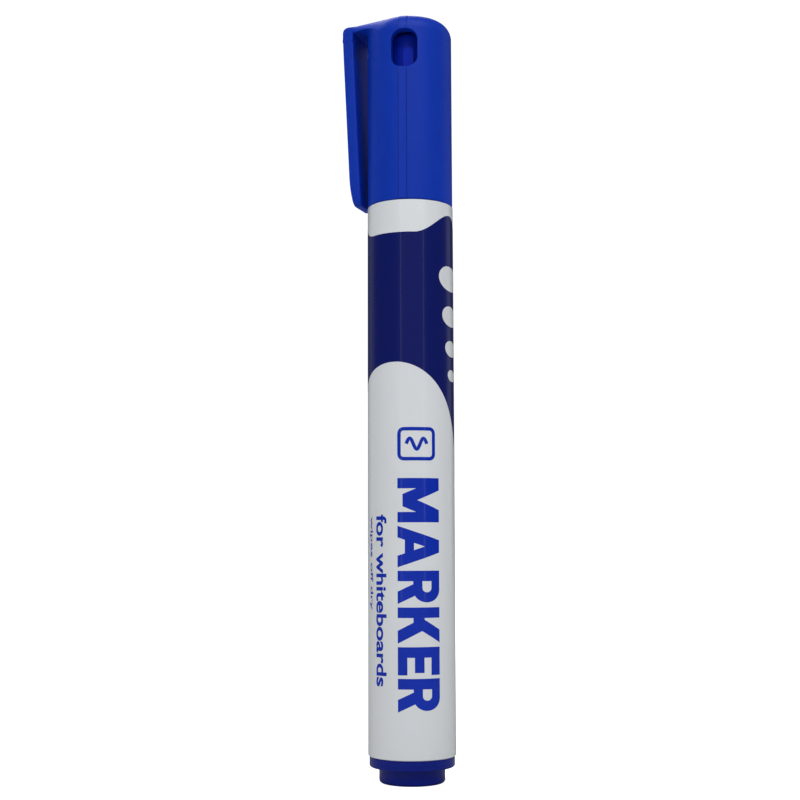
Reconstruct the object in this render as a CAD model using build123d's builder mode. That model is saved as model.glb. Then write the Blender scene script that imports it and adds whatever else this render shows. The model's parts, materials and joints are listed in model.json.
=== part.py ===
from build123d import *

import os
from math import acos, atan2, cos, hypot, radians, sin, sqrt

# A whiteboard marker with its cap on, standing upright on its tail. Units are millimetres.
# +Z runs along the marker from the tail to the top of the cap. The origin is the centre of the
# tail's flat face. -Y is the front, the side that carries the lettering, and the clip is at -X.

# ---- driving dimensions ------------------------------------------------------------------------

total_length = 137.0
close_enough = 0.01

barrel_radius = 7.75
barrel_bore = 6.65
barrel_bottom = 4.65
barrel_top = 102.4
barrel_edge = 0.2
barrel_top_edge = 0.15
barrel_seat_radius = 6.95
barrel_seat_depth = 2.0

post_radius = 5.8
post_height = 2.8
post_chamfer = 0.6
flange_radius = 7.52
flange_edge = 0.3
plug_spigot_radius = 6.6
plug_spigot_top = 11.4
plug_bore = 4.9
plug_floor = 1.3
# A fine groove down the flange, where the two halves of its mould meet.
flange_groove_angle = -73.0
flange_groove_width = 0.3
flange_groove_depth = 0.16

cap_radius = 7.7
cap_mouth = 102.5
cap_rim_radius = 3.0
cap_mouth_edge = 0.25
cap_bore = 6.5
cap_ledge = 115.0
cap_upper_bore = 5.7
cap_ceiling = 134.6

# The vent opening goes through the cap's front wall, a little to the left of its middle, and a
# narrow raised track runs the whole length of the cap and over its rounded rim.
vent_angle = -98.0
vent_low = 126.7
vent_high = 133.8
vent_width = 4.8
vent_corner = 2.0
track_angle = -100.2
track_width = 1.3
track_height = 0.07
track_root = 0.5
track_end_angle = 60.0
track_groove_width = 0.17
track_groove_depth = 0.12

# The clip is a leaning blade. The cap's top plate narrows towards it in straight lines that start
# tangent to the cap's wall, so plate, cap and clip share one rounded upper edge.
clip_angle = 160.5
clip_width = 8.0
clip_tip_width = 7.0
clip_thickness = 2.1
clip_tip = 102.9
clip_tip_thickness = 1.45
clip_tip_gap = 0.61
clip_lean = 0.0438
clip_curve_start = 108.5
clip_outer_corner = 1.3
clip_side_corner = 0.8
clip_split = 131.0
clip_split_gap = 0.12
clip_edge = 0.35
clip_tip_corner = 1.3
plate_neck_length = 1.9
plate_underside = 135.6
plate_wall_step = 0.03
plate_overhang = 0.03
plate_inner_blend = 1.0
plate_levels = 7

inner_cap_bore = 4.06
inner_cap_radius = 4.8
inner_cap_mouth = 113.6
inner_cap_flange_radius = 6.45
inner_cap_ceiling = 131.8
inner_cap_top = 134.2
inner_cap_dome = 1.2
rib_angles = (-93.0, -3.0, 87.0, 177.0)
rib_width = 1.85
rib_reach = 5.55
rib_top = 131.1
rib_end_share = 0.49

collar_radius = 6.35
collar_top = 111.4
collar_bead_radius = 6.45
collar_bead_height = 105.4
collar_bead_length = 1.6
collar_bead_root = 0.5
holder_spigot_radius = 6.6
holder_rim_radius = 6.9
holder_bottom = 92.4
holder_chamber = 5.4
holder_chamber_top = 108.5
seal_neck_radius = 4.0
seal_neck_bottom = 112.4
seal_neck_top = 117.6
nose_radius = 3.2
nose_base = 118.6
nose_top = 121.6
nose_edge = 0.3

nib_radius = 2.4
nib_bore = 2.43
nib_tail = 84.0
nib_shoulder = 124.2
nib_tip = 128.2
nib_tip_radius = 1.05
nib_tip_edge = 0.5

reservoir_radius = 6.1
reservoir_bore = 2.43
film_inner_radius = 6.12
film_radius = 6.28

# ---- worked out from them ----------------------------------------------------------------------

rim_start = total_length - cap_rim_radius
clip_tip_inside = cap_radius + clip_tip_gap
groove_offset = (track_width + track_groove_width) / 2


def clip_inside(height):
    """The distance from the marker's axis to the clip's inner face at a height."""
    return clip_tip_inside + clip_lean * (height - clip_tip)


def clip_outside(height):
    """The distance from the marker's axis to the clip's outer face at a height."""
    return clip_inside(height) + clip_thickness


def circles_of_radius(part, radius):
    """The round edges of a part that have this radius, from the lowest to the highest."""
    circles = part.edges().filter_by(GeomType.CIRCLE)
    return circles.filter_by(lambda edge: abs(edge.radius - radius) < close_enough).sort_by(Axis.Z)


def rounding(height, radius):
    """How far an edge of this radius, along the flat top, has drawn in at a height."""
    climb = min(radius, max(0.0, height - (total_length - radius)))
    return radius - sqrt(radius * radius - climb * climb)


def level_plane(height):
    """A level plane whose own X points towards the clip."""
    turn = radians(clip_angle)
    return Plane(origin=(0, 0, height), x_dir=(cos(turn), sin(turn), 0), z_dir=(0, 0, 1))


def radial_plane(angle):
    """An upright plane through the axis that faces outward at an angle."""
    turn = radians(angle)
    outward = Vector(cos(turn), sin(turn), 0)
    sideways = Vector(-sin(turn), cos(turn), 0)
    return Plane(origin=(0, 0, 0), x_dir=sideways, z_dir=outward)


def side_plane(angle):
    """An upright plane through the axis whose own X points outward at an angle."""
    turn = radians(angle)
    outward = Vector(cos(turn), sin(turn), 0)
    sideways = Vector(sin(turn), -cos(turn), 0)
    return Plane(origin=(0, 0, 0), x_dir=outward, z_dir=sideways)


os.makedirs("parts", exist_ok=True)

# ---- barrel and tail ---------------------------------------------------------------------------

with BuildPart() as barrel:
    with BuildSketch(Plane.XZ):
        with BuildLine():
            Polyline(
                (barrel_bore, barrel_bottom),
                (barrel_radius, barrel_bottom),
                (barrel_radius, barrel_top),
                (barrel_seat_radius, barrel_top),
                (barrel_seat_radius, barrel_top - barrel_seat_depth),
                (barrel_bore, barrel_top - barrel_seat_depth),
                close=True,
            )
        make_face()
    revolve(axis=Axis.Z)
    fillet(circles_of_radius(barrel, barrel_radius)[0], radius=barrel_edge)
    fillet(circles_of_radius(barrel, barrel_radius)[-1], radius=barrel_top_edge)
barrel.part.label = "barrel"
export_step(barrel.part, "parts/barrel.step")

with BuildPart() as end_plug:
    with BuildSketch(Plane.XZ):
        with BuildLine():
            Polyline(
                (0, 0),
                (post_radius, 0),
                (post_radius, post_height),
                (flange_radius, post_height),
                (flange_radius, barrel_bottom),
                (plug_spigot_radius, barrel_bottom),
                (plug_spigot_radius, plug_spigot_top),
                (plug_bore, plug_spigot_top),
                (plug_bore, plug_floor),
                (0, plug_floor),
                close=True,
            )
        make_face()
    revolve(axis=Axis.Z)
    fillet(circles_of_radius(end_plug, flange_radius)[0], radius=flange_edge)
    chamfer(circles_of_radius(end_plug, post_radius)[0], length=post_chamfer)
    with BuildSketch(radial_plane(flange_groove_angle).offset(flange_radius - flange_groove_depth)):
        with Locations((0, (post_height + barrel_bottom) / 2)):
            Rectangle(flange_groove_width, barrel_bottom - post_height)
    extrude(amount=flange_radius, mode=Mode.SUBTRACT)
end_plug.part.label = "end_plug"
export_step(end_plug.part, "parts/end_plug.step")

# ---- ink store ---------------------------------------------------------------------------------

with BuildPart() as ink_reservoir:
    with BuildSketch(Plane.XY.offset(plug_spigot_top)):
        Circle(reservoir_radius)
    extrude(amount=holder_bottom - plug_spigot_top)
    with BuildSketch(Plane.XY.offset(nib_tail)):
        Circle(reservoir_bore)
    extrude(amount=holder_bottom - nib_tail, mode=Mode.SUBTRACT)
ink_reservoir.part.label = "ink_reservoir"
export_step(ink_reservoir.part, "parts/ink_reservoir.step")

with BuildPart() as reservoir_film:
    with BuildSketch(Plane.XY.offset(plug_spigot_top)):
        Circle(film_radius)
        Circle(film_inner_radius, mode=Mode.SUBTRACT)
    extrude(amount=holder_bottom - plug_spigot_top)
reservoir_film.part.label = "reservoir_film"
export_step(reservoir_film.part, "parts/reservoir_film.step")

# ---- writing end -------------------------------------------------------------------------------

with BuildPart() as nib_holder:
    with BuildSketch(Plane.XZ):
        with BuildLine():
            Polyline(
                (holder_chamber, holder_bottom),
                (holder_spigot_radius, holder_bottom),
                (holder_spigot_radius, barrel_top - barrel_seat_depth),
                (holder_rim_radius, barrel_top - barrel_seat_depth),
                (holder_rim_radius, barrel_top),
                (collar_radius, barrel_top),
                (collar_radius, collar_top),
                (seal_neck_radius, seal_neck_bottom),
                (seal_neck_radius, seal_neck_top),
                (nose_radius, nose_base),
                (nose_radius, nose_top),
                (nib_bore, nose_top),
                (nib_bore, holder_chamber_top),
                (holder_chamber, holder_chamber_top),
                close=True,
            )
        make_face()
    revolve(axis=Axis.Z)
    with BuildSketch(Plane.XZ):
        with BuildLine():
            bead_low = collar_bead_height - collar_bead_length / 2
            bead_high = collar_bead_height + collar_bead_length / 2
            bead_arc = ThreePointArc(
                (collar_radius, bead_low),
                (collar_bead_radius, collar_bead_height),
                (collar_radius, bead_high),
            )
            Polyline(
                bead_arc @ 1,
                (collar_radius - collar_bead_root, bead_high),
                (collar_radius - collar_bead_root, bead_low),
                bead_arc @ 0,
            )
        make_face()
    revolve(axis=Axis.Z)
    fillet(circles_of_radius(nib_holder, nose_radius)[-1], radius=nose_edge)
nib_holder.part.label = "nib_holder"
export_step(nib_holder.part, "parts/nib_holder.step")

with BuildPart() as nib:
    with BuildSketch(Plane.XZ):
        with BuildLine():
            Polyline(
                (nib_tip_radius, nib_tip),
                (0, nib_tip),
                (0, nib_tail),
                (nib_radius, nib_tail),
                (nib_radius, nib_shoulder),
            )
            TangentArc(
                (nib_radius, nib_shoulder),
                (nib_tip_radius, nib_tip),
                tangent=(0, 1),
            )
        make_face()
    revolve(axis=Axis.Z)
    tip_rim = nib.edges().filter_by(GeomType.CIRCLE).sort_by(Axis.Z)[-1]
    fillet(tip_rim, radius=nib_tip_edge)
nib.part.label = "nib"
export_step(nib.part, "parts/nib.step")

# ---- cap ---------------------------------------------------------------------------------------

with BuildPart() as inner_cap:
    with BuildSketch(Plane.XZ):
        with BuildLine():
            Polyline(
                (inner_cap_bore, inner_cap_mouth),
                (inner_cap_flange_radius, inner_cap_mouth),
                (inner_cap_flange_radius, cap_ledge),
                (inner_cap_radius, cap_ledge),
                (inner_cap_radius, inner_cap_top),
                (0, inner_cap_top),
                (0, inner_cap_ceiling),
                (inner_cap_bore, inner_cap_ceiling),
                close=True,
            )
        make_face()
    revolve(axis=Axis.Z)
    top_rim = inner_cap.edges().filter_by(GeomType.CIRCLE).sort_by(Axis.Z)[-1]
    fillet(top_rim, radius=inner_cap_dome)
    for angle in rib_angles:
        with BuildSketch(radial_plane(angle)):
            with Locations((0, (cap_ledge + rib_top) / 2)):
                RectangleRounded(rib_width, rib_top - cap_ledge, rib_width * rib_end_share)
            with Locations((0, cap_ledge + rib_width / 2)):
                Rectangle(rib_width, rib_width)
        extrude(amount=rib_reach)
    with BuildSketch(Plane.XY.offset(inner_cap_mouth)):
        Circle(inner_cap_bore)
    extrude(amount=inner_cap_ceiling - inner_cap_mouth, mode=Mode.SUBTRACT)
inner_cap.part.label = "inner_cap"
export_step(inner_cap.part, "parts/inner_cap.step")

# The clip's root, cut off level where the flexing blade begins.
with BuildPart() as clip_root:
    with BuildSketch(side_plane(clip_angle)):
        with BuildLine():
            Polyline(
                (clip_inside(clip_split), clip_split),
                (clip_outside(clip_split), clip_split),
                (clip_outside(rim_start), rim_start),
                (clip_inside(rim_start), rim_start),
                close=True,
            )
        make_face()
    extrude(amount=clip_width / 2, both=True)
    fillet(clip_root.edges().filter_by(lambda edge: abs((edge % 0.5).Z) > 0.5), radius=clip_edge)

# The top plate: level sections, from the start of the rounded rim to the flat top.
with BuildPart() as top_plate:
    for level in range(plate_levels):
        height = rim_start + cap_rim_radius * sin(radians(90 * level / (plate_levels - 1)))
        rim = cap_radius - rounding(height, cap_rim_radius)
        outer_end = clip_outside(rim_start) + plate_overhang - rounding(height, clip_outer_corner)
        neck = outer_end - plate_neck_length
        half_width = clip_width / 2 + plate_overhang - rounding(height, clip_side_corner)
        touch = atan2(half_width, neck) + acos(rim / hypot(half_width, neck))
        with BuildSketch(level_plane(height)) as section:
            with BuildLine():
                Polyline(
                    (rim * cos(touch), rim * sin(touch)),
                    (neck, half_width),
                    (outer_end, half_width),
                    (outer_end, -half_width),
                    (neck, -half_width),
                    (rim * cos(touch), -rim * sin(touch)),
                )
                ThreePointArc(
                    (rim * cos(touch), -rim * sin(touch)),
                    (-rim, 0),
                    (rim * cos(touch), rim * sin(touch)),
                )
            make_face()
            fillet(section.vertices().sort_by(Axis.X)[-2:], radius=clip_edge)
    loft()

with BuildPart() as cap:
    with BuildSketch(Plane.XY.offset(cap_mouth)):
        Circle(cap_radius)
    extrude(amount=rim_start - cap_mouth)
    fillet(circles_of_radius(cap, cap_radius)[0], radius=cap_mouth_edge)
    add(top_plate.part)
    add(clip_root.part)
    with BuildSketch(level_plane(plate_underside)):
        with Locations((clip_inside(rim_start) / 2, 0)):
            Rectangle(clip_inside(rim_start), 3 * cap_radius)
        Circle(cap_radius + plate_wall_step, mode=Mode.SUBTRACT)
    extrude(amount=clip_split - plate_underside, mode=Mode.SUBTRACT)
    ceiling_edges = cap.edges().filter_by_position(
        Axis.Z, plate_underside - close_enough, plate_underside + close_enough
    )
    fillet(ceiling_edges.filter_by(GeomType.CIRCLE), radius=plate_inner_blend)

    # The raised track, between two fine grooves, follows the cap's side and its rounded rim.
    for offset, width, mode, low, high in (
        (0, track_width, Mode.ADD, -track_root, track_height),
        (groove_offset, track_groove_width, Mode.SUBTRACT, -track_groove_depth, track_height),
        (-groove_offset, track_groove_width, Mode.SUBTRACT, -track_groove_depth, track_height),
    ):
        with BuildSketch(side_plane(track_angle).offset(offset)):
            rim_centre = (cap_radius - cap_rim_radius, rim_start)
            with BuildLine():
                outer_curve = CenterArc(rim_centre, cap_rim_radius + high, 0, track_end_angle)
                inner_curve = CenterArc(rim_centre, cap_rim_radius + low, 0, track_end_angle)
                Line(outer_curve @ 1, inner_curve @ 1)
                Polyline(
                    inner_curve @ 0,
                    (cap_radius + low, cap_mouth + cap_mouth_edge),
                    (cap_radius + high, cap_mouth + cap_mouth_edge),
                    outer_curve @ 0,
                )
            make_face()
        extrude(amount=width / 2, both=True, mode=mode)

    with BuildSketch(Plane.XY.offset(cap_mouth)):
        Circle(cap_bore)
    extrude(amount=cap_ledge - cap_mouth, mode=Mode.SUBTRACT)
    with BuildSketch(Plane.XY.offset(cap_ledge)):
        Circle(cap_upper_bore)
    extrude(amount=cap_ceiling - cap_ledge, mode=Mode.SUBTRACT)
    with BuildSketch(radial_plane(vent_angle)):
        with Locations((0, (vent_low + vent_high) / 2)):
            RectangleRounded(vent_width, vent_high - vent_low, vent_corner)
    extrude(amount=2 * cap_radius, mode=Mode.SUBTRACT)
cap.part.label = "cap"
export_step(cap.part, "parts/cap.step")

with BuildPart() as clip:
    with BuildSketch(side_plane(clip_angle)):
        with BuildLine():
            blade_top = clip_split - clip_split_gap
            outer_line = Line(
                (clip_outside(blade_top), blade_top),
                (clip_outside(clip_curve_start), clip_curve_start),
            )
            tip_curve = TangentArc(
                outer_line @ 1,
                (clip_inside(clip_tip) + clip_tip_thickness, clip_tip),
                tangent=outer_line % 1,
            )
            Polyline(
                tip_curve @ 1,
                (clip_inside(clip_tip), clip_tip),
                (clip_inside(blade_top), blade_top),
                outer_line @ 0,
            )
        make_face()
    extrude(amount=clip_width / 2, both=True)
    with BuildSketch(radial_plane(clip_angle)) as blade_outline:
        with BuildLine():
            Polyline(
                (-clip_width / 2, clip_split),
                (clip_width / 2, clip_split),
                (clip_tip_width / 2, clip_tip),
                (-clip_tip_width / 2, clip_tip),
                close=True,
            )
        make_face()
        fillet(blade_outline.vertices().sort_by(Axis.Y)[:2], radius=clip_tip_corner)
    extrude(amount=2 * cap_radius, mode=Mode.INTERSECT)
    fillet(
        clip.edges().filter_by_position(Axis.Z, clip_tip - 1, blade_top, inclusive=(True, False)),
        radius=clip_edge,
    )
clip.part.label = "clip"
export_step(clip.part, "parts/clip.step")
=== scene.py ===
import json
from math import ceil, cos, floor, hypot, pi, radians, sin, sqrt, tan, tau

import bmesh
import bpy
from mathutils import Matrix, Vector
from mathutils.geometry import delaunay_2d_cdt


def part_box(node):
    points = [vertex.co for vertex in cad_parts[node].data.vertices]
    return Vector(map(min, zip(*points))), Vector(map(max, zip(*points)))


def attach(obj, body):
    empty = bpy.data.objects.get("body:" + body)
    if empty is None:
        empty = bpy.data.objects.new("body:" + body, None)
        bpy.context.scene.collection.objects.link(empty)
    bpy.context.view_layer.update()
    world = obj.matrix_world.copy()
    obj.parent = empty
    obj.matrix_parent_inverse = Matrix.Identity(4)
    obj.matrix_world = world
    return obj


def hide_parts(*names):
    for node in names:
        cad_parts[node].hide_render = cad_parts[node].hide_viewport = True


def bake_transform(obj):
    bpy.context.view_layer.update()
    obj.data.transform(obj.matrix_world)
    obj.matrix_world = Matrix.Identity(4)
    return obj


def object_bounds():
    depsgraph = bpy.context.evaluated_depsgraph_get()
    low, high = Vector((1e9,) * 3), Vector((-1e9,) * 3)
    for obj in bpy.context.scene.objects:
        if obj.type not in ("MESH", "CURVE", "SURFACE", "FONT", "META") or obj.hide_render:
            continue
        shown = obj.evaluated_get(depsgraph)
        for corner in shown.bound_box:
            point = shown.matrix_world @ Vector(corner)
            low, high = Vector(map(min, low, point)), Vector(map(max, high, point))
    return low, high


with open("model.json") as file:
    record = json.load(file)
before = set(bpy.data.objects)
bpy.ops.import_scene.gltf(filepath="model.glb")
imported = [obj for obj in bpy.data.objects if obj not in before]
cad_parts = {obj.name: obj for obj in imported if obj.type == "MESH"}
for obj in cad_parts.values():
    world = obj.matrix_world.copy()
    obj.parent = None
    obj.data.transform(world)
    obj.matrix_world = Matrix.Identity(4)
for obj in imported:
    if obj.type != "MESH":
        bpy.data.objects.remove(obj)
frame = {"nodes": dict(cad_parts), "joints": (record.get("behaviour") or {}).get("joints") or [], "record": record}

# A whiteboard marker, standing on its tail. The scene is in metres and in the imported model's frame:
# +Z runs from the tail to the cap's top, -Y is the printed front and the clip is on the -X side.
# Lengths that belong to the look alone are given in millimetres and multiplied by MM. The print is
# laid out in millimetres too, and on_barrel turns its points into places in metres.

MM = 0.001
cad_low, cad_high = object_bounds()

# ---- sizes taken from the frame ----------------------------------------------------------------

mounts = {mount["name"]: mount for mount in frame["record"]["mounts"]}
joints = {joint["name"]: joint for joint in frame["joints"]}

barrel_low, barrel_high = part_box("barrel")
barrel_radius = barrel_high.x
plug_low, plug_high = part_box("end_plug")
flange_radius = plug_high.x
post_radius = mounts["tail_post"]["dims"]["r_mm"] * MM
post_length = mounts["tail_post"]["dims"]["length_mm"] * MM
clip_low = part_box("clip")[0]

clip_hinge = Vector(joints["clip_flex"]["pos_m"])
clip_outward = Vector((clip_hinge.x, clip_hinge.y, 0)).normalized()
clip_sideways = Vector(joints["clip_flex"]["axis"]).normalized()

# ---- looks that the frame doesn't give -----------------------------------------------------------

lathe_segments = 192
smooth_limit = radians(32)
corner_steps = 4
same_point = 1e-7

barrel_bore = 6.65 * MM
barrel_seat_radius = 6.95 * MM
barrel_seat_depth = 2.0 * MM
barrel_foot_edge = 0.2 * MM
barrel_rim_edge = 0.15 * MM

spigot_radius = 6.6 * MM
plug_bore = 4.9 * MM
plug_floor = 1.3 * MM
post_edge = 0.6 * MM
flange_edge = 0.3 * MM
fine_edge = 0.12 * MM
groove_angle = radians(17.0)
groove_half_width = radians(1.1)
groove_depth = 0.14 * MM

blade_width = 8.0 * MM
blade_tip_width = 7.0 * MM
blade_thickness = 2.1 * MM
blade_tip_thickness = 1.45 * MM
blade_tip_gap = 0.61 * MM
blade_lean = 0.0438
blade_curve_start = 5.6 * MM
blade_edge = 0.35 * MM
blade_tip_corner = 1.3 * MM
blade_steps = 40
blade_steps_above_tip = 38
blade_tip_turns = range(10, 80, 8)
blade_end_turns = range(0, 91, 15)
thinnest_edge = 0.02 * MM

# The print is a skin of ink on the barrel. It is laid out on the unrolled barrel in millimetres:
# across is measured round the barrel from its front, to the right, and up is the height. Its flat
# shapes are cut every wrap_step, so that they bend round the barrel.
ink_height = 0.02
ink_depth = 0.03
ink_overprint = 0.012
wrap_step = 0.3
weld = 1e-4
cut_tolerance = 1e-6
fill_all = 0
radius_mm = barrel_radius / MM

# ---- meshes --------------------------------------------------------------------------------------


def rounded(corners, steps=corner_steps):
    """A closed outline from (x, y, corner radius) corners, with an arc at each rounded corner."""
    outline = []
    for index, (x, y, radius) in enumerate(corners):
        corner = Vector((x, y))
        if radius == 0:
            outline.append(corner)
            continue
        before = (Vector(corners[index - 1][:2]) - corner).normalized()
        after = (Vector(corners[(index + 1) % len(corners)][:2]) - corner).normalized()
        half = before.angle(after) / 2
        centre = corner + (before + after).normalized() * radius / sin(half)
        start = (corner + before * radius / tan(half) - centre).normalized()
        end = (corner + after * radius / tan(half) - centre).normalized()
        outline.extend(centre + radius * start.slerp(end, step / steps) for step in range(steps + 1))
    return outline


def placed(name, data):
    """A new object in the scene."""
    made = bpy.data.objects.new(name, data)
    bpy.context.scene.collection.objects.link(made)
    return made


def finish_mesh(name, shape):
    """Turns a bmesh into an object with smooth faces and crisp edges."""
    bmesh.ops.remove_doubles(shape, verts=shape.verts, dist=same_point)
    bmesh.ops.recalc_face_normals(shape, faces=shape.faces)
    mesh = bpy.data.meshes.new(name)
    shape.to_mesh(mesh)
    shape.free()
    mesh.shade_smooth()
    mesh.set_sharp_from_angle(angle=smooth_limit)
    return placed(name, mesh)


def lathe(name, outline, segments=lathe_segments, dent=None):
    """A round piece from a closed outline of (radius, height); dent may change each point's radius."""
    shape = bmesh.new()
    rings = []
    for segment in range(segments):
        turn = tau * segment / segments
        ring = []
        for radius, height in outline:
            here = dent(radius, height, turn) if dent else radius
            ring.append(shape.verts.new((here * sin(turn), -here * cos(turn), height)))
        rings.append(ring)
    count = len(outline)
    for ring, following in zip(rings, rings[1:] + rings[:1]):
        for here in range(count):
            there = (here + 1) % count
            shape.faces.new((ring[here], following[here], following[there], ring[there]))
    return finish_mesh(name, shape)


def loft(name, sections):
    """A closed piece through sections of equally many points."""
    shape = bmesh.new()
    rings = [[shape.verts.new(point) for point in section] for section in sections]
    for ring, following in zip(rings, rings[1:]):
        for here in range(len(ring)):
            there = (here + 1) % len(ring)
            shape.faces.new((ring[here], ring[there], following[there], following[here]))
    shape.faces.new(rings[0])
    shape.faces.new(rings[-1])
    return finish_mesh(name, shape)


def on_barrel(across, up, proud):
    """The place of a point of the unrolled print."""
    turn = across / radius_mm
    radius = (radius_mm + proud) * MM
    return Vector((radius * sin(turn), -radius * cos(turn), up * MM))


def ink_shell(name, points, faces, proud):
    """A thin closed skin on the barrel over faces of the unrolled print, with normals true to it."""
    count = len(points)
    places = [on_barrel(*point, proud) for point in points]
    places += [on_barrel(*point, -ink_depth) for point in points]
    sides = {(face[here - 1], face[here]) for face in faces for here in range(len(face))}
    rims = [(start, end) for start, end in sides if (end, start) not in sides]
    skin = [tuple(face) for face in faces]
    skin += [tuple(count + corner for corner in reversed(face)) for face in faces]
    skin += [(end, start, count + start, count + end) for start, end in sorted(rims)]
    mesh = bpy.data.meshes.new(name)
    mesh.from_pydata(places, [], skin)
    mesh.update()
    mesh.shade_smooth()
    normals = []
    for face in mesh.polygons:
        for corner in face.vertices:
            outward = Vector((places[corner].x, places[corner].y, 0)).normalized()
            if face.index < len(faces):
                normals.append(outward)
            elif face.index < 2 * len(faces):
                normals.append(-outward)
            else:
                normals.append(face.normal.copy())
    mesh.normals_split_custom_set(normals)
    return placed(name, mesh)


def enclosed(outline):
    """Twice the area inside an outline, negative where it runs clockwise."""
    return sum(
        before[0] * after[1] - after[0] * before[1]
        for before, after in zip(outline, [*outline[1:], outline[0]])
    )


def ink_shapes(name, outlines, cutouts=(), proud=ink_height):
    """A skin over closed outlines of the unrolled print, less the cutouts, bent round the barrel."""
    points, faces, edges = [], [], []
    for outline in (*outlines, *cutouts):
        faces.append(list(range(len(points), len(points) + len(outline))))
        turned = outline[::-1] if enclosed(outline) < 0 else outline
        points.extend(Vector(point) for point in turned)
    lowest = min(point.y for point in points) - 1
    highest = max(point.y for point in points) + 1
    first = ceil(min(point.x for point in points) / wrap_step)
    last = floor(max(point.x for point in points) / wrap_step)
    for line in range(first, last + 1):
        edges.append((len(points), len(points) + 1))
        points.extend((Vector((line * wrap_step, lowest)), Vector((line * wrap_step, highest))))
    flat, _, triangles, _, _, sources = delaunay_2d_cdt(points, edges, faces, fill_all, cut_tolerance)
    kept = [
        triangle
        for triangle, source in zip(triangles, sources)
        if source and all(shape < len(outlines) for shape in source)
    ]
    used = sorted({corner for triangle in kept for corner in triangle})
    number = {corner: index for index, corner in enumerate(used)}
    kept = [[number[corner] for corner in triangle] for triangle in kept]
    return ink_shell(name, [tuple(flat[corner]) for corner in used], kept, proud)


# ---- materials -----------------------------------------------------------------------------------

# Noise runs through a piece's own space: a larger scale is finer, and a stretch below 1 along Z
# lengthens its grain along the marker.
flow_scale = 160
flow_stretch = (1, 1, 0.35)
scuff_scale = 700
scuff_stretch = (1, 1, 0.3)
micro_scale = 5200
micro_height = 0.004 * MM
blue_bleeds_far = (0.15, 0.35, 1.0)
bleed_distance = 1.2 * MM
screen_gamma = 2.2


def new_material(name):
    """An empty material: its nodes, its links and its main shader."""
    material = bpy.data.materials.new(name)
    material.use_nodes = True
    tree = material.node_tree
    return material, tree, tree.nodes["Principled BSDF"]


def linear(red, green, blue):
    """A colour for a shader from 0 to 255 screen values."""
    return tuple((value / 255) ** screen_gamma for value in (red, green, blue)) + (1.0,)


def object_noise(tree, scale, detail, stretch=(1, 1, 1)):
    """Noise through the piece's own space; stretch lengthens its grain along an axis."""
    place = tree.nodes.new("ShaderNodeTexCoord")
    mapping = tree.nodes.new("ShaderNodeMapping")
    mapping.inputs["Scale"].default_value = stretch
    noise = tree.nodes.new("ShaderNodeTexNoise")
    noise.inputs["Scale"].default_value = scale
    noise.inputs["Detail"].default_value = detail
    tree.links.new(place.outputs["Object"], mapping.inputs["Vector"])
    tree.links.new(mapping.outputs["Vector"], noise.inputs["Vector"])
    return noise.outputs["Fac"]


def spread(tree, value, low, high, from_low=0.3, from_high=0.7):
    """Maps a noise value onto a range."""
    node = tree.nodes.new("ShaderNodeMapRange")
    node.inputs["From Min"].default_value = from_low
    node.inputs["From Max"].default_value = from_high
    node.inputs["To Min"].default_value = low
    node.inputs["To Max"].default_value = high
    tree.links.new(value, node.inputs["Value"])
    return node.outputs["Result"]


def mix_colours(tree, factor, first, second):
    """Blends two colours by a factor."""
    node = tree.nodes.new("ShaderNodeMix")
    node.data_type = "RGBA"
    node.inputs["A"].default_value = first
    node.inputs["B"].default_value = second
    tree.links.new(factor, node.inputs["Factor"])
    return node.outputs["Result"]


def roughen(tree, shader, height, strength, distance):
    """Adds a bump from a height value."""
    bump = tree.nodes.new("ShaderNodeBump")
    bump.inputs["Strength"].default_value = strength
    bump.inputs["Distance"].default_value = distance
    tree.links.new(height, bump.inputs["Height"])
    tree.links.new(bump.outputs["Normal"], shader.inputs["Normal"])


def scaled(colour, factor, lift=0.0):
    """A colour made darker or lighter."""
    return tuple(min(1.0, channel * factor + lift) for channel in colour[:3]) + (1.0,)


def moulded(name, colour, roughness, specular=0.5, coat=0.0, depth=0.0, swirl=0.05, scuff=0.12, grain=0.25):
    """Moulded plastic: faint flow marks in its colour, uneven gloss, fine scuffs and a micro grain."""
    material, tree, shader = new_material(name)
    flow = spread(tree, object_noise(tree, flow_scale, 4, flow_stretch), 0, 1)
    swirled = mix_colours(tree, flow, scaled(colour, 1 - swirl), scaled(colour, 1 + swirl))
    tree.links.new(swirled, shader.inputs["Base Color"])
    scuffs = object_noise(tree, scuff_scale, 5, scuff_stretch)
    gloss = spread(tree, scuffs, roughness * (1 - scuff), roughness * (1 + scuff))
    tree.links.new(gloss, shader.inputs["Roughness"])
    roughen(tree, shader, object_noise(tree, micro_scale, 3), grain, micro_height)
    shader.inputs["Specular IOR Level"].default_value = specular
    shader.inputs["Coat Weight"].default_value = coat
    shader.inputs["Coat Roughness"].default_value = 0.06
    if depth:
        shader.inputs["Subsurface Weight"].default_value = depth
        shader.inputs["Subsurface Radius"].default_value = blue_bleeds_far
        shader.inputs["Subsurface Scale"].default_value = bleed_distance
    return material


def fibrous(name, colour, stretch, scale):
    """Bonded fibres soaked with ink: paler streaks along the piece and a dull felted surface."""
    material, tree, shader = new_material(name)
    streaks = object_noise(tree, scale, 8, stretch)
    pale = scaled(colour, factor=1.9, lift=0.01)
    streaked = mix_colours(tree, spread(tree, streaks, 0, 1), colour, pale)
    tree.links.new(streaked, shader.inputs["Base Color"])
    roughen(tree, shader, streaks, strength=0.7, distance=0.05 * MM)
    shader.inputs["Roughness"].default_value = 0.78
    shader.inputs["Sheen Weight"].default_value = 0.25
    return material


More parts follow.
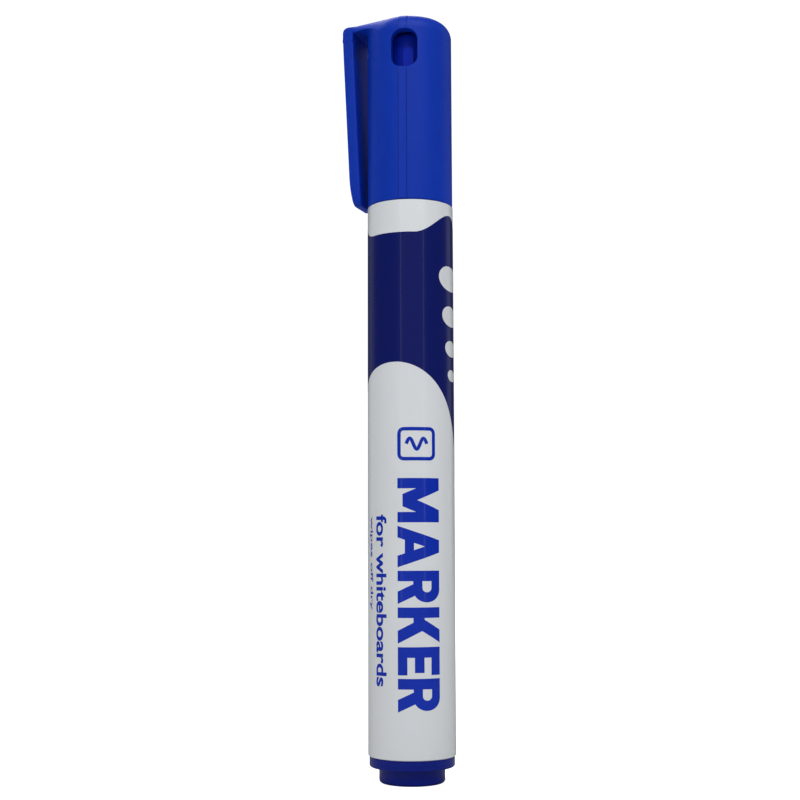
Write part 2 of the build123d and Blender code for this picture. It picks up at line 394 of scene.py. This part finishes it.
def clear_film(name):
    """Thin wrap film with faint pull lines."""
    material, tree, shader = new_material(name)
    lines = object_noise(tree, scuff_scale, 5, stretch=(1, 1, 0.06))
    tree.links.new(spread(tree, lines, low=0.12, high=0.3), shader.inputs["Roughness"])
    roughen(tree, shader, lines, strength=0.3, distance=0.02 * MM)
    shader.inputs["Base Color"].default_value = (0.82, 0.86, 0.92, 1.0)
    shader.inputs["Transmission Weight"].default_value = 0.9
    shader.inputs["IOR"].default_value = 1.45
    return material


cap_blue = moulded("cap_blue", linear(0, 54, 170), 0.44, specular=0.18, depth=0.3)
inner_blue = moulded("inner_blue", linear(0, 40, 168), 0.5, specular=0.1)
plug_blue = moulded("plug_blue", linear(0, 29, 122), 0.2, specular=0.25, coat=0.3)
holder_white = moulded("holder_white", linear(222, 224, 226), 0.42, swirl=0.02, grain=0.35)

# The barrel's wall and the ink on it are smooth and evenly glossy.
bare_white = linear(216, 220, 224)
white_look = {"coat": 0.5, "swirl": 0.006, "scuff": 0.03, "grain": 0.03}
ink_look = {"specular": 0.2, "swirl": 0.03, "scuff": 0.03, "grain": 0.03}
barrel_white = moulded("barrel_white", bare_white, 0.3, **white_look)
ink_white = moulded("ink_white", bare_white, 0.3, **white_look)
ink_navy = moulded("ink_navy", linear(14, 26, 96), 0.3, coat=0.3, **ink_look)
ink_blue = moulded("ink_blue", linear(0, 46, 166), 0.26, coat=0.5, **ink_look)

nib_fibre = fibrous("nib_fibre", linear(14, 34, 130), stretch=(1, 1, 0.08), scale=4200)
store_fibre = fibrous("store_fibre", linear(24, 50, 140), stretch=(1, 1, 0.05), scale=2600)
wrap_film = clear_film("wrap_film")


def dress(piece, material):
    """Gives a piece one material."""
    piece.data.materials.clear()
    piece.data.materials.append(material)


def settle(piece, material, body, slot, *replaced):
    """Finishes a new piece: its material, the body that it rides on, and hiding the model's parts that it
    replaces. slot is not used.
    """
    dress(piece, material)
    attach(piece, body)
    if replaced:
        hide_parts(*replaced)


# ---- the marker's own pieces ---------------------------------------------------------------------


def make_barrel():
    """The tube: a rolled edge at the foot and a seat for the nib holder's rim at the top."""
    seat = barrel_high.z - barrel_seat_depth
    outline = rounded([
        (barrel_bore, barrel_low.z, fine_edge),
        (barrel_radius, barrel_low.z, barrel_foot_edge),
        (barrel_radius, barrel_high.z, barrel_rim_edge),
        (barrel_seat_radius, barrel_high.z, 0),
        (barrel_seat_radius, seat, 0),
        (barrel_bore, seat, 0),
    ])
    settle(lathe("barrel_tube", outline), barrel_white, "marker_body", "barrel_white", "barrel")


def make_end_plug():
    """The tail: a post to stand on, a flange with its mould groove, and a spigot in the barrel."""
    flange_bottom = plug_low.z + post_length + post_edge

    def mould_groove(radius, height, turn):
        across = min(abs(turn - groove_angle), tau - abs(turn - groove_angle))
        on_flange = radius > post_radius + flange_edge and height < barrel_low.z
        if on_flange and across < groove_half_width:
            return radius - groove_depth
        return radius

    outline = rounded([
        (0, plug_low.z, 0),
        (post_radius, plug_low.z, post_edge),
        (post_radius, flange_bottom, fine_edge),
        (flange_radius, flange_bottom, flange_edge),
        (flange_radius, barrel_low.z, 0),
        (spigot_radius, barrel_low.z, 0),
        (spigot_radius, plug_high.z, fine_edge),
        (plug_bore, plug_high.z, fine_edge),
        (plug_bore, plug_floor, 0),
        (0, plug_floor, 0),
    ])
    piece = lathe("tail_plug", outline, segments=2 * lathe_segments, dent=mould_groove)
    settle(piece, plug_blue, "marker_body", "plug_blue", "end_plug")


def make_clip():
    """The clip's blade: it leaves the cap's root square, and thins and rounds off at its tip."""
    top = clip_hinge.z
    length = top - clip_low.z
    curve_start = clip_low.z + blade_curve_start
    cap_side = clip_hinge.xy.length - blade_thickness / 2 - blade_lean * length - blade_tip_gap

    def inside(height):
        return cap_side + blade_tip_gap + blade_lean * (height - clip_low.z)

    def thickness(height):
        if height > curve_start:
            return blade_thickness
        share = (curve_start - height) / blade_curve_start
        return blade_thickness - (blade_thickness - blade_tip_thickness) * share ** 2

    def half_width(height):
        taper = (blade_width - blade_tip_width) / 2 * (top - height) / length
        half = blade_width / 2 - taper
        short = clip_low.z + blade_tip_corner - height
        if short > 0:
            half += sqrt(max(0.0, blade_tip_corner ** 2 - short ** 2)) - blade_tip_corner
        return half

    def section(height, inset):
        near, far = inside(height) + inset, inside(height) + thickness(height) - inset
        half = half_width(height) - inset
        edge = max(blade_edge - inset, thinnest_edge)
        corners = [(near, -half, edge), (far, -half, edge), (far, half, edge), (near, half, edge)]
        return [
            clip_outward * out + clip_sideways * side + Vector((0, 0, height))
            for out, side in rounded(corners)
        ]

    heights = [top - length * step / blade_steps for step in range(blade_steps_above_tip)]
    heights += [clip_low.z + blade_tip_corner * (1 - sin(radians(turn))) for turn in blade_tip_turns]
    heights = sorted((height for height in heights if height > clip_low.z + blade_edge), reverse=True)
    sections = [section(height, 0) for height in heights]
    for turn in blade_end_turns:
        lift = blade_edge * (1 - sin(radians(turn)))
        sections.append(section(clip_low.z + lift, blade_edge * (1 - cos(radians(turn)))))
    piece = loft("clip_blade_skin", sections)
    dress(piece, cap_blue)
    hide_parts("clip")
    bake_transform(piece)


# ---- the print -----------------------------------------------------------------------------------

# The navy band's edges. Places and reaches round the barrel are in degrees from its front, and
# heights are in millimetres.
band_level = 96.5
crest = {"centre": 64, "before": 60, "after": 44, "rise": 3.75}
back_crest = {"centre": -118, "before": 60, "after": 60, "rise": 3.4}
dome_centre = -22
dome_top = 73.36
dome_drop = 31.0
dome_left = 134
dome_right = 120
tongue_depth = 14.0
dome_steps = 120
tongue_steps = 44


def swell(angle, centre, before, after, rise):
    """A smooth bump in a boundary, highest at its centre; angles are in degrees round the barrel."""
    offset = (angle - centre + 180) % 360 - 180
    reach = before if offset < 0 else after
    return rise * (1 + cos(pi * offset / reach)) / 2 if abs(offset) < reach else 0.0


def band_upper(angle):
    """The navy band's upper edge."""
    return band_level + swell(angle, **crest) + swell(angle, **back_crest)


def band_lower():
    """The navy band's lower edge, once round: a broad dome, then a tongue that hangs at the back."""
    edge = []
    for step in range(-dome_steps, dome_steps):
        turn = radians(90 * step / dome_steps)
        reach = dome_right if step > 0 else dome_left
        edge.append((dome_centre + reach * sin(turn), dome_top - dome_drop * (1 - cos(turn))))
    tongue_start = dome_centre + dome_right
    tongue_width = 360 - dome_left - dome_right
    for step in range(-tongue_steps, tongue_steps):
        turn = radians(90 * step / tongue_steps)
        angle = tongue_start + tongue_width * (1 + sin(turn)) / 2
        edge.append((angle, dome_top - dome_drop - tongue_depth * cos(turn)))
    return edge


def make_band():
    """The navy band round the barrel."""
    edge = band_lower()
    per_degree = radians(1) * radius_mm
    points = [(angle * per_degree, height) for angle, height in edge]
    points += [(angle * per_degree, band_upper(angle)) for angle, _ in edge]
    count = len(edge)
    faces = []
    for here in range(count):
        there = (here + 1) % count
        faces.append((here, there, count + there, count + here))
    piece = ink_shell("print_band", points, faces, ink_height)
    settle(piece, ink_navy, "marker_body", "barrel_white")


drop_count = 4
drop_points = 48
drop_half_height = 2.15
drop_shrinks = 0.385
drop_left = 5.45
drop_moves_right = 0.77
drop_level = 88.65
drop_pitch = 6.8
drop_pitch_closes = 1.0
drop_tail_narrows = 0.3
drop_tail_sinks = 0.1


def make_drops():
    """White drops in the band's right side, smaller and closer downwards, with their tails to the right."""
    outlines = []
    for index in range(drop_count):
        half_height = drop_half_height - drop_shrinks * index
        half_length = 2 * half_height
        left = drop_left + drop_moves_right * index
        level = drop_level - drop_pitch * index + drop_pitch_closes * index * (index - 1) / 2
        outline = []
        for step in range(drop_points):
            turn = tau * step / drop_points
            narrowing = 1 - drop_tail_narrows * cos(turn)
            sinking = drop_tail_sinks * half_height * cos(turn)
            across = left + half_length * (1 + cos(turn))
            outline.append((across, level + half_height * sin(turn) * narrowing - sinking))
        outlines.append(outline)
    piece = ink_shapes("print_drops", outlines, proud=ink_height + ink_overprint)
    settle(piece, ink_white, "marker_body", "barrel_white")


def rotated(points, across, top):
    """Text points, (along, above), laid down the barrel with their tops to the right."""
    return [(across + above, top - along) for along, above in points]


def box_shape(left, bottom, right, top):
    """An upright rectangle of a letter."""
    return [(left, bottom), (right, bottom), (right, top), (left, top)]


def slant(foot, head, bottom, top, width):
    """A sloping stroke of a letter with level ends."""
    return [(foot, bottom), (foot + width, bottom), (head + width, top), (head, top)]


def bowl(left, bottom, right, top, steps=16):
    """A shape with a straight left side and a round right side."""
    radius = (top - bottom) / 2
    middle = (top + bottom) / 2
    outline = [(left, bottom)]
    for step in range(steps + 1):
        turn = radians(-90 + 180 * step / steps)
        outline.append((right - radius + radius * cos(turn), middle + radius * sin(turn)))
    return outline + [(left, top)]


# Each letter is as wide as its first number; the rest are its shapes and its cutouts, in cap heights.
stem = 0.27
letters = {
    "M": (1.16, [box_shape(0, 0, stem, 1), box_shape(0.89, 0, 1.16, 1),
                 slant(0.42, 0.0, 0.12, 1, 0.32), slant(0.42, 0.84, 0.12, 1, 0.32)], []),
    "A": (1.08, [slant(0, 0.38, 0, 1, 0.3), slant(0.78, 0.4, 0, 1, 0.3),
                 box_shape(0.25, 0.17, 0.83, 0.38)], []),
    "R": (0.86, [box_shape(0, 0, stem, 1), bowl(0.1, 0.36, 0.82, 1), slant(0.54, 0.27, 0, 0.5, 0.32)],
          [bowl(stem, 0.57, 0.56, 0.79)]),
    "K": (0.93, [box_shape(0, 0, stem, 1), slant(0.14, 0.58, 0.36, 1, 0.33),
                 slant(0.6, 0.24, 0, 0.62, 0.33)], []),
    "E": (0.72, [box_shape(0, 0, stem, 1), box_shape(0.1, 0.78, 0.72, 1),
                 box_shape(0.1, 0.39, 0.66, 0.61), box_shape(0.1, 0, 0.72, 0.22)], []),
}
letter_gap = 0.09
word = "MARKER"
word_top = 52.9
word_length = 40.1
word_across = -2.5
word_height = 7.6


def make_word():
    """The large word down the barrel's front."""
    natural = sum(letters[letter][0] for letter in word) + letter_gap * (len(word) - 1)
    stretch = word_length / natural
    solid, cut = [], []
    along = 0.0
    for letter in word:
        width, shapes, cutouts = letters[letter]
        for source, laid in ((shapes, solid), (cutouts, cut)):
            for shape in source:
                points = [((along + x) * stretch, y * word_height) for x, y in shape]
                laid.append(rotated(points, word_across, word_top))
        along += width + letter_gap
    settle(ink_shapes("print_word", solid, cut), ink_blue, "marker_body", "barrel_white")


def flat_text(text, weight):
    """A line of text as flat faces, in the built-in font made bolder by a weight."""
    curve = bpy.data.curves.new("text", "FONT")
    curve.body = text
    curve.offset = weight
    writer = placed("text", curve)
    bpy.context.view_layer.update()
    mesh = bpy.data.meshes.new_from_object(writer)
    shape = bmesh.new()
    shape.from_mesh(mesh)
    bpy.data.objects.remove(writer)
    bpy.data.meshes.remove(mesh)
    return shape


def make_line(name, text, across, top, length, height, weight):
    """A small line of text beside the large word, cut along upright lines so that it can bend."""
    shape = flat_text(text, weight)
    left, right = min(vertex.co.x for vertex in shape.verts), max(vertex.co.x for vertex in shape.verts)
    low, high = min(vertex.co.y for vertex in shape.verts), max(vertex.co.y for vertex in shape.verts)
    for vertex in shape.verts:
        along = (vertex.co.x - left) / (right - left) * length
        above = (vertex.co.y - low) / (high - low) * height
        vertex.co = (across + above, top - along, 0)
    for line in range(1, ceil(height / wrap_step)):
        bmesh.ops.bisect_plane(
            shape,
            geom=shape.verts[:] + shape.edges[:] + shape.faces[:],
            dist=weld,
            plane_co=(across + line * wrap_step, 0, 0),
            plane_no=(1, 0, 0),
        )
    bmesh.ops.remove_doubles(shape, verts=shape.verts, dist=weld)
    shape.verts.index_update()
    points = [tuple(vertex.co.xy) for vertex in shape.verts]
    faces = [[vertex.index for vertex in face.verts] for face in shape.faces]
    shape.free()
    settle(ink_shell(name, points, faces, ink_height), ink_blue, "marker_body", "barrel_white")


board_left, board_right = -2.5, 4.35
board_bottom, board_top = 55.95, 61.8
board_stroke = 0.62
board_corner = 1.1
board_hole_corner = 0.5
scribble_margin = 1.6
scribble_rise = 0.95
scribble_half_stroke = 0.3
scribble_waves = 1.5
scribble_steps = 36


def board_outline(inset, radius):
    """The emblem's board, made smaller all round by an inset."""
    left, right = board_left + inset, board_right - inset
    bottom, top = board_bottom + inset, board_top - inset
    corners = [(left, bottom), (right, bottom), (right, top), (left, top)]
    return rounded([(*corner, radius) for corner in corners])


def make_emblem():
    """A plain board with a wavy line drawn across it."""
    board = board_outline(0, board_corner)
    hole = board_outline(board_stroke, board_hole_corner)
    settle(ink_shapes("print_board", [board], [hole]), ink_blue, "marker_body", "barrel_white")
    middle = (board_bottom + board_top) / 2
    start = board_left + scribble_margin
    length = board_right - board_left - 2 * scribble_margin
    turns = tau * scribble_waves
    upper, lower = [], []
    for step in range(scribble_steps + 1):
        share = step / scribble_steps
        across = start + length * share
        up = middle + scribble_rise * sin(turns * share)
        slope = scribble_rise * turns / length * cos(turns * share)
        shift = scribble_half_stroke / hypot(1, slope)
        upper.append((across - slope * shift, up + shift))
        lower.append((across + slope * shift, up - shift))
    piece = ink_shapes("print_scribble", [lower + upper[::-1]])
    settle(piece, ink_blue, "marker_body", "barrel_white")


# ---- what the model keeps, and the new pieces -----------------------------------------------------

for node, material in {
    "cap": cap_blue,
    "inner_cap": inner_blue,
    "nib_holder": holder_white,
    "nib": nib_fibre,
    "ink_reservoir": store_fibre,
    "reservoir_film": wrap_film,
}.items():
    dress(frame["nodes"][node], material)

make_barrel()
make_end_plug()
make_clip()
make_band()
make_drops()
make_emblem()
make_word()
make_line("print_purpose", "for whiteboards", across=-7.15, top=46.6, length=29.6, height=2.5, weight=0.024)
make_line("print_note", "wipes off dry", across=-9.5, top=46.3, length=16.3, height=1.3, weight=0.015)

# ---- floor, light and camera ---------------------------------------------------------------------

camera_distance = 250.8 * MM
camera_height = 41.15 * MM
camera_shift_left = 1.96 * MM
camera_pitch = 0.104
camera_roll = radians(-0.17)
camera_lens = 62.93


def by_ray(tree, camera, glossy, other):
    """A number that differs for what the camera sees, what mirrors see and what lights the marker."""
    ray = tree.nodes.new("ShaderNodeLightPath")
    mirrored = tree.nodes.new("ShaderNodeMapRange")
    mirrored.inputs["To Min"].default_value = other
    mirrored.inputs["To Max"].default_value = glossy
    seen = tree.nodes.new("ShaderNodeMix")
    seen.inputs["B"].default_value = camera
    tree.links.new(ray.outputs["Is Glossy Ray"], mirrored.inputs["Value"])
    tree.links.new(mirrored.outputs["Result"], seen.inputs["A"])
    tree.links.new(ray.outputs["Is Camera Ray"], seen.inputs["Factor"])
    return seen.outputs["Result"]


def make_floor():
    """A wide pale floor: it glows an even white to the camera, and is given a darker colour where it mirrors in
    the marker than where it lights it.
    """
    shape = bmesh.new()
    bmesh.ops.create_circle(shape, cap_ends=True, segments=96, radius=6.0)
    mesh = bpy.data.meshes.new("floor")
    shape.to_mesh(mesh)
    shape.free()
    paper = placed("floor", mesh)
    paper.location.z = cad_low.z
    material, tree, shader = new_material("floor_paper")
    shader.inputs["Roughness"].default_value = 0.9
    shader.inputs["Specular IOR Level"].default_value = 0.0
    shader.inputs["Emission Color"].default_value = (1, 1, 1, 1)
    tree.links.new(by_ray(tree, camera=0.9, glossy=0.2, other=0.6), shader.inputs["Base Color"])
    glow = by_ray(tree, camera=0.8, glossy=0.0, other=0.03)
    tree.links.new(glow, shader.inputs["Emission Strength"])
    dress(paper, material)


def make_world():
    """A white surround that lights the marker softly and mirrors in it faintly."""
    world = bpy.data.worlds.new("studio")
    bpy.context.scene.world = world
    world.use_nodes = True
    tree = world.node_tree
    background = tree.nodes["Background"]
    background.inputs["Color"].default_value = (1.0, 1.0, 1.0, 1.0)
    strength = by_ray(tree, camera=1.05, glossy=0.06, other=0.47)
    tree.links.new(strength, background.inputs["Strength"])


# Each light's direction and height as seen from the marker, its distance, its size and how bright its
# face is. A direction of 0 degrees is the camera's side and 90 is the right.
lights = {
    # name: (direction, height, distance, width, length, radiance)
    "key": (6, 52, 0.9, 1.0, 0.7, 2.25),
    "front_panel": (3.6, 8, 0.7, 0.8, 1.0, 0.1),
    "left_edge_strip": (-26.4, 8, 0.69, 0.035, 0.9, 1.2),
    "right_edge_strip": (34.5, 8, 0.69, 0.035, 0.9, 1.2),
    "left_side": (-128, 12, 0.8, 0.4, 0.9, 0.17),
    "right_side": (122, 12, 0.8, 0.3, 0.9, 0.36),
    "back": (208, 50, 0.9, 0.8, 0.5, 3.0),
}


def area_light(name, direction, height, distance, width, length, radiance):
    """A soft panel that faces the marker's middle."""
    light = bpy.data.lights.new(name, "AREA")
    light.shape = "RECTANGLE"
    light.size, light.size_y = width, length
    light.energy = radiance * width * length * pi
    lamp = placed(name, light)
    turn, lift = radians(direction), radians(height)
    outward = Vector((sin(turn) * cos(lift), -cos(turn) * cos(lift), sin(lift)))
    aim = Vector((0, 0, (cad_low.z + cad_high.z) / 2))
    lamp.location = aim + outward * distance
    lamp.rotation_mode = "QUATERNION"
    lamp.rotation_quaternion = outward.to_track_quat("Z", "Y")


def make_lights():
    """An overhead key, a faint front panel with two bright edges, dim sides and a high light behind."""
    for name, values in lights.items():
        area_light(name, *values)


def make_camera():
    """The camera in front of the marker, low and tipped up a little."""
    data = bpy.data.cameras.new("camera")
    data.lens = camera_lens
    data.clip_start = 0.01
    camera = placed("camera", data)
    place = Matrix.Translation((-camera_shift_left, -camera_distance, camera_height))
    tilt = Matrix.Rotation(pi / 2 + camera_pitch, 4, "X")
    camera.matrix_world = place @ tilt @ Matrix.Rotation(camera_roll, 4, "Z")
    bpy.context.scene.camera = camera


make_floor()
make_world()
make_lights()
make_camera()
bpy.context.scene.view_settings.view_transform = "Standard"
